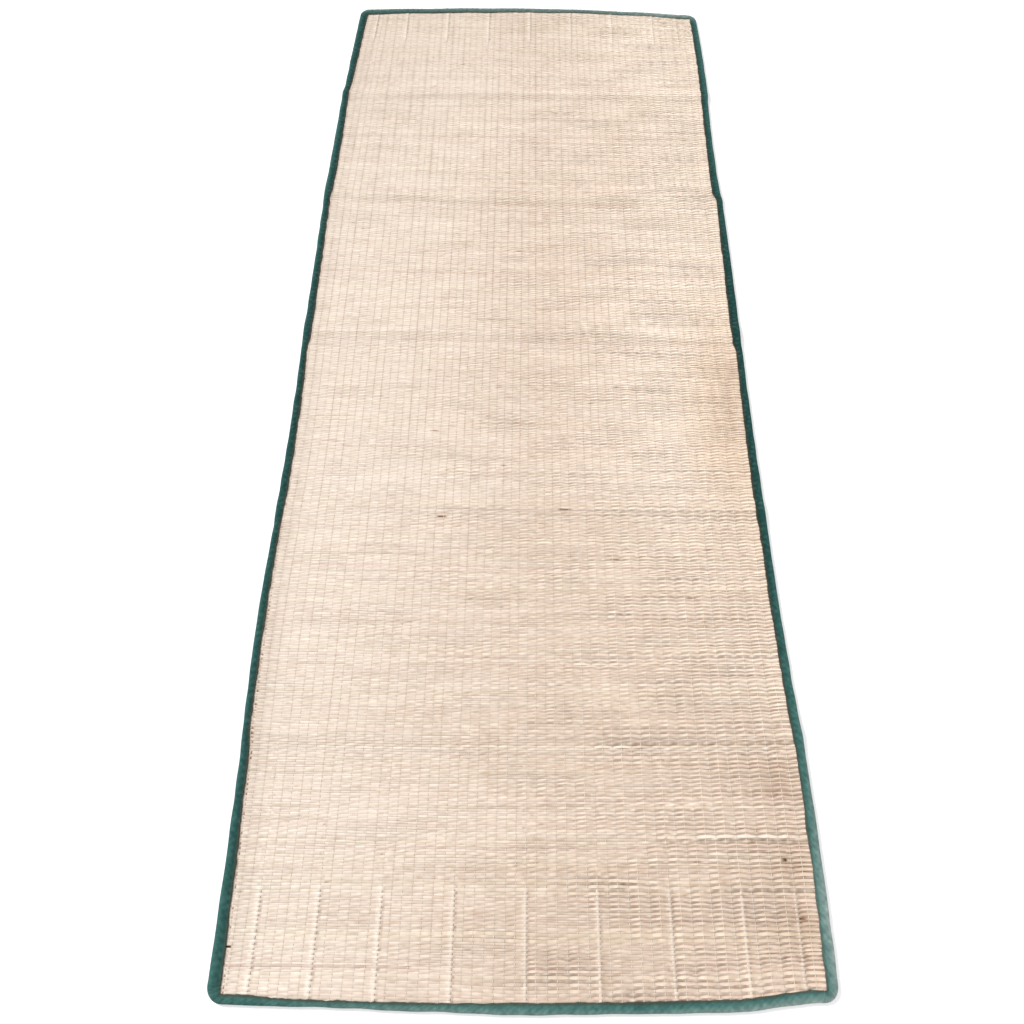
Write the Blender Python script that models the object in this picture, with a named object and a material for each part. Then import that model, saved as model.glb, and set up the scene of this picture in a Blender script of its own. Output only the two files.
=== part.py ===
"""Sleeping mat woven from split reeds, bound all round with a folded green cloth tape.

The mat lies open on the floor. It was kept folded in six, so five soft creases cross it,
and its two ends carry short raised ribs where thicker cords were woven in.
Metres, +Z up. The origin is on the floor under the middle of the mat, +Y runs along its
length towards the far end, and -Y towards the near end.
"""

from collections import namedtuple
from math import cos, pi, sin

import bmesh
import bpy
from mathutils import Vector

MM = 0.001

# Overall size, over the binding
LENGTH = 1.826
WIDTH = 0.740
CORNER_RADIUS = 20 * MM

# The woven reed panel
PANEL_THICKNESS = 2.2 * MM
RIB_HEIGHT = 0.9 * MM
RIB_HALF_WIDTH = 2.8 * MM
RIB_RUN_OUT = 4 * MM
NEAR_RIBS_LONG = 133 * MM
FAR_RIBS_LONG = 110 * MM

# The binding: a tape folded over the edge of the panel, seen in section
LEG = 1.0 * MM
CLEARANCE = 0.3 * MM
FOLD_WALL = 2.0 * MM
EDGE_CLEARANCE = 0.8 * MM
CROWN = 0.45 * MM
TAPE_REST = 1.0 * MM
SETTLE = 24 * MM
CORNER_STEPS = 5

# Where the rounded outer edge of the fold starts and ends, in from its outermost point
LOW_ROUND, LOW_CHAMFER = 2.2 * MM, 0.6 * MM
HIGH_CHAMFER, HIGH_ROUND = 0.7 * MM, 2.8 * MM
CROWN_PLACE, SHOULDER_PLACE = 0.5, 0.85

EDGE_LIFT = LEG + CLEARANCE
EDGE_INSET = FOLD_WALL + EDGE_CLEARANCE

# One row for each of the six panels between creases, from the near end to the far end.
# Each entry holds three sizes in mm, at the panel's near end, middle and far end: how far
# the edge of the mat lies inside the overall width, and how wide the tape is there.
Panel = namedtuple("Panel", "left left_tape right right_tape")
PANELS = [
    Panel((9.0, 8.0, 5.0), (17.5, 14.0, 12.0), (3.5, 0.5, 1.0), (15.0, 14.0, 13.0)),
    Panel((4.5, 0.0, 3.0), (9.8, 12.0, 10.0), (1.5, 6.5, 7.4), (14.0, 13.5, 13.4)),
    Panel((2.0, 4.3, 2.4), (12.5, 12.5, 10.6), (7.6, 8.0, 6.4), (15.0, 13.5, 11.3)),
    Panel((2.0, 2.0, 0.5), (14.0, 12.8, 12.6), (6.7, 4.0, 3.0), (15.7, 15.0, 11.6)),
    Panel((0.5, 3.5, 5.5), (15.0, 15.0, 12.5), (5.0, 5.6, 2.5), (16.0, 13.5, 14.0)),
    Panel((8.0, 13.0, 19.5), (13.0, 15.5, 16.5), (1.0, 0.0, 3.5), (15.0, 14.5, 14.0)),
]

# One row for each crease, from the near end to the far end, all in mm: where its top line
# crosses the left edge, middle and right edge, how high it stands there, how far it reaches
# towards the near and far ends, and where the left and right edges jog beside it.
Crease = namedtuple("Crease", "left mid right high_left high_mid high_right near far jogs")
CREASES = [
    Crease(-602, -604, -598, 1.9, 2.2, 1.6, 30, 36, (-611, -611)),
    Crease(-276, -278, -276, 0.8, 1.3, 1.4, 30, 24, (-306, -295)),
    Crease(48, 50, 45, 1.8, 1.6, 2.1, 28, 36, (22, 23)),
    Crease(366, 361, 365, 1.6, 1.6, 1.6, 30, 36, (357, 363)),
    Crease(632, 642, 642, 1.3, 1.2, 1.9, 27, 36, (641, 633)),
]
JOG_LENGTH = 14
SHOULDER = 0.7
LEAST_STEP = 2

# One row for each place across the near and far ends, all in mm
End = namedtuple("End", "x near near_tape far far_tape")
ENDS = [
    End(-350, 8.0, 11.0, 14.5, 18.0),
    End(-230, 6.3, 7.6, 8.5, 15.5),
    End(-115, 3.0, 9.0, 3.0, 15.5),
    End(0, 0.3, 12.3, 0.0, 14.0),
    End(115, 2.2, 12.0, 0.5, 12.0),
    End(230, 4.2, 13.0, 5.0, 12.0),
    End(350, 14.5, 13.5, 12.0, 13.5),
]

# Where each raised rib runs, in mm across the mat at its near end and at its far end
Rib = namedtuple("Rib", "near far")
RIBS = [
    Rib(-317, -313),
    Rib(-243, -252),
    Rib(-170, -164),
    Rib(-84, -78),
    Rib(4, 10),
    Rib(90, 96),
    Rib(178, 184),
    Rib(264, 270),
    Rib(328, 326),
]

# A line of points across the mat, by its y at the left edge, middle and right edge; a line
# that follows one edge, by how far beyond the tape it lies; and a line along one rib
Crossing = namedtuple("Crossing", "left mid right")
Beside = namedtuple("Beside", "edge beyond_tape")
AlongRib = namedtuple("AlongRib", "rib offset")


def mix(a, b, share):
    return a + (b - a) * share


def through_three(values, t):
    """The value at t, from 0 to 1, of the smooth curve through a start, a middle and an end."""
    start, middle, end = values
    return (
        start * (1 - t) * (1 - 2 * t) + middle * 4 * t * (1 - t) + end * t * (2 * t - 1)
    )


def ease(t):
    t = min(max(t, 0.0), 1.0)
    return t * t * (3 - 2 * t)


def crease_line(crease, x):
    return through_three((crease.left, crease.mid, crease.right), x / WIDTH + 0.5) * MM


def relief(x, y):
    """How high the creases lift the underside of the mat off the floor."""
    height = 0.0
    for crease in CREASES:
        offset = y - crease_line(crease, x)
        reach = (crease.near if offset < 0 else crease.far) * MM
        highest = (crease.high_left, crease.high_mid, crease.high_right)
        height += ease(1 - abs(offset) / reach) * through_three(highest, x / WIDTH + 0.5) * MM
    return height


def panel_span(number, side):
    """Where a panel starts and ends along one side of the mat, between two jogs."""
    start, end = -LENGTH / 2, LENGTH / 2
    if number > 0:
        start = (CREASES[number - 1].jogs[side > 0] + JOG_LENGTH / 2) * MM
    if number < len(CREASES):
        end = (CREASES[number].jogs[side > 0] - JOG_LENGTH / 2) * MM
    return start, end


def along_side(side, y, column):
    """A size from PANELS at y, which jogs a little where each crease crosses the edge."""
    for number, panel in enumerate(PANELS):
        start, end = panel_span(number, side)
        if y < start:
            before = getattr(PANELS[number - 1], column)[-1]
            after = getattr(panel, column)[0]
            last = panel_span(number - 1, side)[1]
            return mix(before, after, (y - last) / (start - last)) * MM
        if y <= end:
            return through_three(getattr(panel, column), (y - start) / (end - start)) * MM
    return getattr(PANELS[-1], column)[-1] * MM


def side_edge(side, y):
    """x of the outer edge of the binding on the left (-1) or right (+1) side."""
    return side * (WIDTH / 2 - along_side(side, y, "left" if side < 0 else "right"))


def side_tape(side, y):
    return along_side(side, y, "left_tape" if side < 0 else "right_tape")


def across_end(x, column):
    """A size from ENDS at x, eased from each place to the next."""
    x = min(max(x / MM, ENDS[0].x), ENDS[-1].x)
    for low, high in zip(ENDS, ENDS[1:]):
        if x <= high.x:
            share = ease((x - low.x) / (high.x - low.x))
            return mix(getattr(low, column), getattr(high, column), share) * MM
    return getattr(ENDS[-1], column) * MM


def end_edge(end, x):
    """y of the outer edge of the binding at the near (-1) or far (+1) end."""
    return end * (LENGTH / 2 - across_end(x, "near" if end < 0 else "far"))


def end_tape(end, x):
    return across_end(x, "near_tape" if end < 0 else "far_tape")


def corner_centre(side, end):
    """The centre that the binding turns about at one corner."""
    y = end_edge(end, side * WIDTH / 2) - end * CORNER_RADIUS
    x = side_edge(side, y) - side * CORNER_RADIUS
    y = end_edge(end, x) - end * CORNER_RADIUS
    return Vector((x, y))


def across_crease(crease):
    """The lines of points that shape one crease and the jogs in the edges beside it."""
    foot_to_foot = (
        -crease.near, -SHOULDER * crease.near, 0, SHOULDER * crease.far, crease.far
    )
    jogs = (crease.jogs[0], sum(crease.jogs) / 2, crease.jogs[1])
    spots = []
    for top, jog in zip((crease.left, crease.mid, crease.right), jogs):
        places = [top + offset for offset in foot_to_foot]
        places += [jog - JOG_LENGTH / 2, jog + JOG_LENGTH / 2]
        places.sort()
        for n in range(1, len(places)):
            places[n] = max(places[n], places[n - 1] + LEAST_STEP)
        spots.append([place * MM for place in places])
    return [Crossing(*line) for line in zip(*spots)]


def halfway(before, after):
    return Crossing(*[(a + b) / 2 for a, b in zip(before, after)])


def side_rows():
    """Every line of points that the panel and the binding share along a side."""
    near_end, far_end = Crossing(*[-LENGTH / 2] * 3), Crossing(*[LENGTH / 2] * 3)
    rows = [Crossing(*[-LENGTH / 2 + NEAR_RIBS_LONG] * 3)]
    before = near_end
    for crease in CREASES:
        lines = across_crease(crease)
        rows += [halfway(before, lines[0])] + lines
        before = lines[-1]
    rows.append(halfway(before, far_end))
    return rows + [Crossing(*[LENGTH / 2 - FAR_RIBS_LONG] * 3)]


def row_y(row, x):
    """y of one of the crosswise lines where it crosses the mat at x."""
    if isinstance(row, Crossing):
        return through_three(row, x / WIDTH + 0.5)
    end = -1 if row.edge == "near" else 1
    if row.beyond_tape is None:
        return end_edge(end, x) - end * EDGE_INSET
    return end_edge(end, x) - end * (end_tape(end, x) + row.beyond_tape)


def new_object(name, bm, material, collection):
    bmesh.ops.recalc_face_normals(bm, faces=bm.faces)
    mesh = bpy.data.meshes.new(name)
    bm.to_mesh(mesh)
    bm.free()
    mesh.materials.append(material)
    obj = bpy.data.objects.new(name, mesh)
    collection.objects.link(obj)
    return obj


def cloth_material(name, colour, roughness):
    material = bpy.data.materials.new(name)
    material.use_nodes = True
    shader = material.node_tree.nodes["Principled BSDF"]
    shader.inputs["Base Color"].default_value = (*colour, 1.0)
    shader.inputs["Roughness"].default_value = roughness
    shader.inputs["Metallic"].default_value = 0.0
    return material


def panel_columns():
    """The lines of points that run along the panel: its edges, and three for each rib."""
    columns = [Beside("left", size) for size in (None, TAPE_REST, SETTLE)]
    for rib in RIBS:
        for offset in (-RIB_HALF_WIDTH, 0.0, RIB_HALF_WIDTH):
            columns.append(AlongRib(rib, offset))
    return columns + [Beside("right", size) for size in (SETTLE, TAPE_REST, None)]


def panel_rows():
    """The lines of points that cross the panel: its ends, the ribs' ends and the creases."""
    sizes = (None, TAPE_REST, TAPE_REST + RIB_RUN_OUT, SETTLE)
    near = [Beside("near", size) for size in sizes]
    far = [Beside("far", size) for size in reversed(sizes)]
    near.append(Crossing(*[-LENGTH / 2 + NEAR_RIBS_LONG - RIB_RUN_OUT] * 3))
    far.insert(0, Crossing(*[LENGTH / 2 - FAR_RIBS_LONG + RIB_RUN_OUT] * 3))
    return near + side_rows() + far


def column_x(column, y):
    """x of one of the panel's lengthwise lines at y."""
    if isinstance(column, AlongRib):
        return mix(column.rib.near, column.rib.far, y / LENGTH + 0.5) * MM + column.offset
    side = -1 if column.edge == "left" else 1
    if column.beyond_tape is None:
        return side_edge(side, y) - side * EDGE_INSET
    return side_edge(side, y) - side * (side_tape(side, y) + column.beyond_tape)


def round_corner(x, y):
    """Pulls a point of the panel in to the rounded corner that fits inside the binding."""
    reach = CORNER_RADIUS - EDGE_INSET
    for side in (-1, 1):
        for end in (-1, 1):
            centre = corner_centre(side, end)
            out = Vector((x, y)) - centre
            if out.x * side > 0 and out.y * end > 0 and out.length > reach:
                return centre + out.normalized() * reach
    return Vector((x, y))


def lies_on_tape(line):
    """Whether a line of the panel runs over the binding's lower leg or close beside it."""
    if not isinstance(line, Beside):
        return False
    return line.beyond_tape is None or line.beyond_tape < SETTLE


def on_rib(column, x, y):
    """Whether a point lies on the top line of a rib, between the rib's two run-outs."""
    if not isinstance(column, AlongRib) or column.offset != 0.0:
        return False
    end = -1 if y < 0 else 1
    long = NEAR_RIBS_LONG if end < 0 else FAR_RIBS_LONG
    from_tape = end * (end_edge(end, x) - y) - end_tape(end, x)
    from_end = LENGTH / 2 - abs(y)
    return from_tape > TAPE_REST + RIB_RUN_OUT / 2 and from_end < long - RIB_RUN_OUT / 2


def build_panel(collection):
    columns, rows = panel_columns(), panel_rows()
    bm = bmesh.new()
    bmesh.ops.create_grid(
        bm, x_segments=len(columns) - 1, y_segments=len(rows) - 1, size=0.5
    )
    top = bmesh.ops.extrude_face_region(bm, geom=bm.faces[:])
    top_points = {item for item in top["geom"] if isinstance(item, bmesh.types.BMVert)}
    for point in bm.verts:
        column = columns[round((point.co.x + 0.5) * (len(columns) - 1))]
        row = rows[round((point.co.y + 0.5) * (len(rows) - 1))]
        x = column_x(column, row_y(row, 0.0))
        y = row_y(row, x)
        x, y = round_corner(column_x(column, y), y)
        z = relief(x, y)
        if lies_on_tape(column) or lies_on_tape(row):
            z += EDGE_LIFT
        if point in top_points:
            z += PANEL_THICKNESS
            if on_rib(column, x, y):
                z += RIB_HEIGHT
        point.co = (x, y, z)
    straw = cloth_material("woven reed", (0.80, 0.68, 0.56), 0.75)
    return new_object("mat", bm, straw, collection)


def tape_stations():
    """Places round the edge, each with its outer point, the way inwards, and the tape's width."""
    Station = namedtuple("Station", "point inwards width")
    stations = []

    def add_side(side, rows):
        for row in rows:
            y = row_y(row, side * WIDTH / 2)
            point = Vector((side_edge(side, y), y))
            stations.append(Station(point, Vector((-side, 0)), side_tape(side, y)))

    def add_end(end, places):
        for x in places:
            point = Vector((x, end_edge(end, x)))
            stations.append(Station(point, Vector((0, -end)), end_tape(end, x)))

    def add_corner(side, end, start_angle):
        centre = corner_centre(side, end)
        from_side = side_tape(side, centre.y)
        from_end = end_tape(end, centre.x)
        if side * end > 0:
            from_side, from_end = from_end, from_side
        for step in range(CORNER_STEPS + 1):
            share = step / CORNER_STEPS
            angle = start_angle - share * pi / 2
            out = Vector((cos(angle), sin(angle)))
            width = mix(from_side, from_end, share)
            stations.append(Station(centre + out * CORNER_RADIUS, -out, width))

    add_side(-1, side_rows())
    add_corner(-1, 1, pi)
    add_end(1, [rib.far * MM for rib in RIBS])
    add_corner(1, 1, pi / 2)
    add_side(1, side_rows()[::-1])
    add_corner(1, -1, 0.0)
    add_end(-1, [rib.near * MM for rib in RIBS[::-1]])
    add_corner(-1, -1, -pi / 2)
    return stations


def tape_section(width):
    """The folded tape in section: pairs of distance inwards and height, round its outline."""
    groove_top = LEG + PANEL_THICKNESS + 2 * CLEARANCE
    top = groove_top + LEG
    return [
        (width, 0.0),
        (LOW_ROUND, 0.0),
        (LOW_CHAMFER, LEG),
        (0.0, top / 2),
        (HIGH_CHAMFER, top - LEG),
        (HIGH_ROUND, top + CROWN / 2),
        (width * CROWN_PLACE, top + CROWN),
        (width * SHOULDER_PLACE, top),
        (width, top - LEG / 2),
        (width, groove_top),
        (FOLD_WALL, groove_top),
        (FOLD_WALL, LEG),
        (width, LEG),
    ]


def build_binding(collection):
    stations = tape_stations()
    corners = len(tape_section(1.0))
    bm = bmesh.new()
    bmesh.ops.create_grid(bm, x_segments=len(stations), y_segments=corners, size=0.5)
    for point in bm.verts:
        station = stations[round((point.co.x + 0.5) * len(stations)) % len(stations)]
        inwards, height = tape_section(station.width)[
            round((point.co.y + 0.5) * corners) % corners
        ]
        place = station.point + station.inwards * inwards
        base = relief(station.point.x, station.point.y)
        point.co = (place.x, place.y, base + height)
    bmesh.ops.remove_doubles(bm, verts=bm.verts, dist=0.000001)
    green = cloth_material("green binding tape", (0.035, 0.13, 0.11), 0.85)
    return new_object("binding", bm, green, collection)


def main():
    for obj in list(bpy.data.objects):
        bpy.data.objects.remove(obj, do_unlink=True)
    collection = bpy.data.collections.new("sleeping mat")
    bpy.context.scene.collection.children.link(collection)
    build_panel(collection)
    build_binding(collection)


main()
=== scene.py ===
from collections import namedtuple
from math import cos, pi, radians, sin
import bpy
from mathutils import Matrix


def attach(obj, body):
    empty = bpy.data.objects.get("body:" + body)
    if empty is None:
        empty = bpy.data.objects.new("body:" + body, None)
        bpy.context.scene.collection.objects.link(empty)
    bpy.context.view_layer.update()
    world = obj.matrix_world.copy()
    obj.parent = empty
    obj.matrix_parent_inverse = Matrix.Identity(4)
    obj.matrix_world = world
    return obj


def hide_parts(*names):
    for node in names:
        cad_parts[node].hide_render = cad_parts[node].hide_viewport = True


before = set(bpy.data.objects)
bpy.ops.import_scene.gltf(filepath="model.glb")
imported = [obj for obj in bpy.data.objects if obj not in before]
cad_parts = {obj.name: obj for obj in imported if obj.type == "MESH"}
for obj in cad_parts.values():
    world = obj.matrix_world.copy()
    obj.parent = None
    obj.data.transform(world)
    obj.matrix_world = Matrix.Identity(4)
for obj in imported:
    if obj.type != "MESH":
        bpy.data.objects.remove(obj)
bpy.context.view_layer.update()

from types import SimpleNamespace

import bmesh
import bpy
import numpy as np
from mathutils import Matrix, Vector

scene = bpy.context.scene

# The view. The camera stands over the near end of the mat, a little to the left of its
# middle, and looks down its length.
EYE = Vector((-0.0260, -0.7412, 1.0047))
TURN, LOOK_DOWN, TILT = radians(1.149), radians(65.45), radians(1.870)
ahead = Vector((sin(TURN) * cos(LOOK_DOWN), cos(TURN) * cos(LOOK_DOWN), -sin(LOOK_DOWN)))
level = Vector((cos(TURN), -sin(TURN), 0.0))
upright = level.cross(ahead)
right = cos(TILT) * level + sin(TILT) * upright
up = cos(TILT) * upright - sin(TILT) * level

camera = bpy.data.objects.new("camera", bpy.data.cameras.new("camera"))
camera.data.sensor_width = 36.0
camera.data.lens = 26.0
camera.matrix_world = Matrix(
    [(right[i], up[i], -ahead[i], EYE[i]) for i in range(3)] + [(0.0, 0.0, 0.0, 1.0)]
)
scene.collection.objects.link(camera)
scene.camera = camera


# The reeds. Flat split stalks lie side by side across the mat. Each passes over one cotton
# cord and under the next, so that it shows as a row of 25 mm bricks. They were beaten up by
# hand, tighter at the left edge than at the right, and five folds cross them.
MM = 0.001
LENGTH, WIDTH = 1826.0, 740.0
CORNER_RADIUS = 20.0

# The weave stops a little inside the edge of the tape, which lifts it there. It settles to
# its own height over a short way inwards, and lies a little unevenly, all in mm.
EDGE_INSET = 2.8
EDGE_LIFT, SETTLE = 1.3, 24.0
MIDDLE_HEIGHT, UNEVEN = 1.1, 0.12

# One row for each panel between folds, from the near end to the far end: how many reeds it
# has, then the insets of its edges and the widths of the tape at its near end, middle and
# far end, in mm.
Panel = namedtuple("Panel", "reeds left left_tape right right_tape")
PANELS = [
    Panel(103, (9.0, 8.0, 5.0), (17.5, 14.0, 12.0), (3.5, 0.5, 1.0), (15.0, 14.0, 13.0)),
    Panel(124, (4.5, 0.0, 3.0), (9.8, 12.0, 10.0), (1.5, 6.5, 7.4), (14.0, 13.5, 13.4)),
    Panel(123, (2.0, 4.3, 2.4), (12.5, 12.5, 10.6), (7.6, 8.0, 6.4), (15.0, 13.5, 11.3)),
    Panel(122, (2.0, 2.0, 0.5), (14.0, 12.8, 12.6), (6.7, 4.0, 3.0), (15.7, 15.0, 11.6)),
    Panel(106, (0.5, 3.5, 5.5), (15.0, 15.0, 12.5), (5.0, 5.6, 2.5), (16.0, 13.5, 14.0)),
    Panel(107, (8.0, 13.0, 19.5), (13.0, 15.5, 16.5), (1.0, 0.0, 3.5), (15.0, 14.5, 14.0)),
]

# One row for each fold: where its top line crosses the left edge, middle and right edge,
# how high it stands there, how far it reaches towards the near and far ends, where each side
# edge jogs, how far on the near side of the top line the reeds part, and by how much, in mm.
Fold = namedtuple("Fold", "y_left y_mid y_right left mid right near far jogs part gaps")
FOLDS = [
    Fold(-602, -604, -598, 1.9, 2.2, 1.6, 30, 36, (-611, -611), 10, (0.1, 0.2, 0.3)),
    Fold(-276, -278, -276, 0.8, 1.3, 1.4, 30, 24, (-306, -295), 2, (-0.2, 0.6, 0.5)),
    Fold(48, 50, 45, 1.8, 1.6, 2.1, 28, 36, (22, 23), 15, (0.5, 0.0, 0.6)),
    Fold(366, 361, 365, 1.6, 1.6, 1.6, 30, 36, (357, 363), 8, (0.0, 0.1, 0.4)),
    Fold(632, 642, 642, 1.3, 1.2, 1.9, 27, 36, (641, 633), 4, (-0.2, 0.1, 0.8)),
]
JOG = 14.0

# One row for each place across the two ends, all in mm
End = namedtuple("End", "x near near_tape far far_tape")
ENDS = [
    End(-350, 8.0, 11.0, 14.5, 18.0),
    End(-230, 6.3, 7.6, 8.5, 15.5),
    End(-115, 3.0, 9.0, 3.0, 15.5),
    End(0, 0.3, 12.3, 0.0, 14.0),
    End(115, 2.2, 12.0, 0.5, 12.0),
    End(230, 4.2, 13.0, 5.0, 12.0),
    End(350, 14.5, 13.5, 12.0, 13.5),
]


def through_three(start, middle, end, t):
    return start * (1 - t) * (1 - 2 * t) + middle * 4 * t * (1 - t) + end * t * (2 * t - 1)


def ease(t):
    t = np.clip(t, 0.0, 1.0)
    return t * t * (3 - 2 * t)


def hump(offset, reach):
    """1 where offset is 0, falling smoothly to 0 at that reach on both sides."""
    return ease(1 - np.abs(offset) / reach)


def fold_line(fold, x):
    return through_three(fold.y_left, fold.y_mid, fold.y_right, x / WIDTH + 0.5)


def panel_line(number, x):
    """y of the line where panel `number` starts; line 6 is the far end."""
    if number == 0:
        return -LENGTH / 2 + 0.0 * x
    if number == len(PANELS):
        return LENGTH / 2 + 0.0 * x
    return fold_line(FOLDS[number - 1], x)


def along_side(side, y, column):
    """A size from PANELS at y, with a short jog where each fold meets the edge."""
    ys, sizes = [], []
    for number, panel in enumerate(PANELS):
        start, end = -LENGTH / 2, LENGTH / 2
        if number > 0:
            start = FOLDS[number - 1].jogs[side > 0] + JOG / 2
        if number < len(FOLDS):
            end = FOLDS[number].jogs[side > 0] - JOG / 2
        for t in np.linspace(0.0, 1.0, 9):
            ys.append(start + (end - start) * t)
            sizes.append(through_three(*getattr(panel, column), t))
    return np.interp(y, ys, sizes)


def side_edge(side, y):
    return side * (WIDTH / 2 - along_side(side, y, "left" if side < 0 else "right"))


def side_tape(side, y):
    return along_side(side, y, "left_tape" if side < 0 else "right_tape")


def across_end(x, column):
    places = np.array([row.x for row in ENDS], float)
    sizes = np.array([getattr(row, column) for row in ENDS], float)
    spot = np.clip(np.searchsorted(places, x) - 1, 0, len(ENDS) - 2)
    share = ease((x - places[spot]) / (places[spot + 1] - places[spot]))
    return sizes[spot] + (sizes[spot + 1] - sizes[spot]) * share


def end_inset(end, x):
    return across_end(x, "near" if end < 0 else "far")


def end_edge(end, x):
    return end * (LENGTH / 2 - end_inset(end, x))


def end_tape(end, x):
    return across_end(x, "near_tape" if end < 0 else "far_tape")


def fold_lift(x, y):
    """How far the folds hold the mat off the floor."""
    height = np.zeros_like(x + y)
    for fold in FOLDS:
        offset = y - fold_line(fold, x)
        share = np.where(offset < 0, 1 + offset / fold.near, 1 - offset / fold.far)
        height += ease(share) * through_three(fold.left, fold.mid, fold.right, x / WIDTH + 0.5)
    return height


def inside_tape(x, y):
    """How far a point lies inside the inner edge of the tape, in mm."""
    distance = x - side_edge(-1, y) - side_tape(-1, y)
    distance = np.minimum(distance, side_edge(1, y) - side_tape(1, y) - x)
    distance = np.minimum(distance, y - end_edge(-1, x) - end_tape(-1, x))
    return np.minimum(distance, end_edge(1, x) - end_tape(1, x) - y)


def drift(seed, waves, across, along):
    """A smooth wandering number from -1 to 1 over the mat, from a few seeded waves."""
    rng = np.random.default_rng(seed)
    kx = rng.uniform(0.3, 1.0, waves) * rng.choice([-1, 1], waves) * 2 * pi / across
    ky = rng.uniform(0.3, 1.0, waves) * 2 * pi / along
    phase = rng.uniform(0, 2 * pi, waves)

    def at(x, y):
        total = 0.0
        for n in range(waves):
            total = total + np.sin(kx[n] * x + ky[n] * y + phase[n])
        return total / waves ** 0.5 / 1.4

    return at


unevenness = drift(11, 7, 90.0, 70.0)
meander = drift(12, 9, 130.0, 45.0)
slackness = drift(13, 8, 160.0, 60.0)


def looseness(x, y):
    """How loosely the reeds are beaten up: 0.3 at the left edge, 1.5 at the near right."""
    share = x / WIDTH + 0.5
    loose = 0.34 + 0.20 * share + 1.00 * share ** 3 + (0.10 + 0.18 * share) * slackness(x, y)
    return np.clip(loose * (1 - 0.16 * ease(y / 900.0)), 0.25, 1.8)


# The cotton cords that the reeds are woven on stand 12.4 mm apart. Thicker ones were
# laid in at both ends, where they stand up as short ribs.
CORD_STEP = 12.43
FIRST_CORD = -355.9
CORDS = 58
NEAR_RIBS = (3, 9, 15, 22, 29, 36, 43, 50, 55)
FAR_RIBS = (2, 8, 15, 22, 29, 36, 43, 50, 54)
RIB_NEAR, RIB_FAR = 133.0, 110.0
RIB_SIDE = 3.4
SKEW_NEAR, SKEW_FAR = -0.5, 5.4
TIGHT_CORDS = (0, 1)
END_BEND = 120.0


def cord_x(number):
    return FIRST_CORD + number * CORD_STEP


def pull_in(x, y):
    """Shifts the cords: all of them lean, and the outer ones follow the edges of the mat."""
    x = x + SKEW_NEAR + (SKEW_FAR - SKEW_NEAR) * (y / LENGTH + 0.5)
    left = (along_side(-1, y, "left") - 4.0) * ease((-240.0 - x) / 110.0)
    right_side = (along_side(1, y, "right") - 4.5) * ease((x - 240.0) / 110.0)
    return x + left - right_side


def end_rise(x, row_y):
    """Shifts the rows near the two ends so that they bend with the end edges."""
    near = np.clip(1 - (row_y + LENGTH / 2) / END_BEND, 0, 1) ** 2
    far = np.clip(1 - (LENGTH / 2 - row_y) / END_BEND, 0, 1) ** 2
    return end_inset(-1, x) * near - end_inset(1, x) * far


def rib_share(cord, y):
    """1 on a rib, where the thick cord lies in the weave, and 0 elsewhere."""
    near = ease((RIB_NEAR - (y + LENGTH / 2)) / 6.0)
    far = ease((RIB_FAR - (LENGTH / 2 - y)) / 6.0)
    return np.isin(cord, NEAR_RIBS) * near + np.isin(cord, FAR_RIBS) * far


def ribs_of(number):
    """The cords that are ribs in that panel."""
    if number == 0:
        return NEAR_RIBS
    return FAR_RIBS if number == len(PANELS) - 1 else ()


# Each reed wanders in four ways, given at evenly spaced knots along it
KNOTS = 10
HEIGHT, SIDEWAYS, TONE, ROLL = range(4)


def at_knots(table, row, share):
    """The number at a share of the way along a row of evenly spaced knots."""
    last = table.shape[-1] - 1
    place = np.clip(share * last, 0, last - 0.001)
    knot = place.astype(int)
    share = place - knot
    return table[row, knot] * (1 - share) + table[row, knot + 1] * share


class Rows:
    """Where the reeds of one panel lie: the middle and width of each reed at any x."""

    def __init__(self, number):
        panel = PANELS[number]
        rng = np.random.default_rng(100 + number)
        self.number, self.count = number, panel.reeds
        self.width = np.clip(1 + 0.15 * rng.standard_normal(self.count), 0.68, 1.5)
        self.width *= 1 + 0.10 * np.sin(np.arange(self.count) * 2 * pi / rng.uniform(17, 23))
        self.taper = rng.uniform(-0.22, 0.22, self.count)
        self.tone = rng.standard_normal(self.count)
        self.hue = rng.standard_normal(self.count)
        self.wander = rng.standard_normal((4, self.count, KNOTS))
        self.pair = np.cumprod(np.where(rng.uniform(size=self.count) < 0.035, 1, -1))
        self.first = sum(p.reeds for p in PANELS[:number])

    def lines(self, x):
        """y of the panel's first and last line, which part a little at a fold."""
        spots = []
        for number, way in ((self.number, 1), (self.number + 1, -1)):
            line = panel_line(number, x)
            if 0 < number < len(PANELS):
                fold = FOLDS[number - 1]
                gap = through_three(*fold.gaps, x / WIDTH + 0.5)
                line = line - fold.part + way * gap / 2
            else:
                line = line + way * EDGE_INSET
            spots.append(line)
        return spots

    def place(self, x, row):
        """(y, width) of reed `row` at x, both arrays of one shape."""
        start, end = self.lines(x)
        wide = np.concatenate([[0.0], np.cumsum(self.width)])
        lean = np.concatenate([[0.0], np.cumsum(self.width * self.taper)])
        share = x / WIDTH
        scale = (end - start) / (wide[-1] + lean[-1] * share)
        before = (wide[row] + lean[row] * share) * scale
        after = (wide[row + 1] + lean[row + 1] * share) * scale
        y = start + (before + after) / 2
        edge = np.minimum(ease((y - start) / 25.0), ease((end - y) / 25.0))
        y = y + 0.9 * meander(x, y) * edge
        return y + end_rise(x, y), after - before

    def along(self, kind, x, row):
        """A number that wanders along each reed, for its height, place, tone or roll."""
        return at_knots(self.wander[kind], row, x / WIDTH + 0.5)


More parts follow.
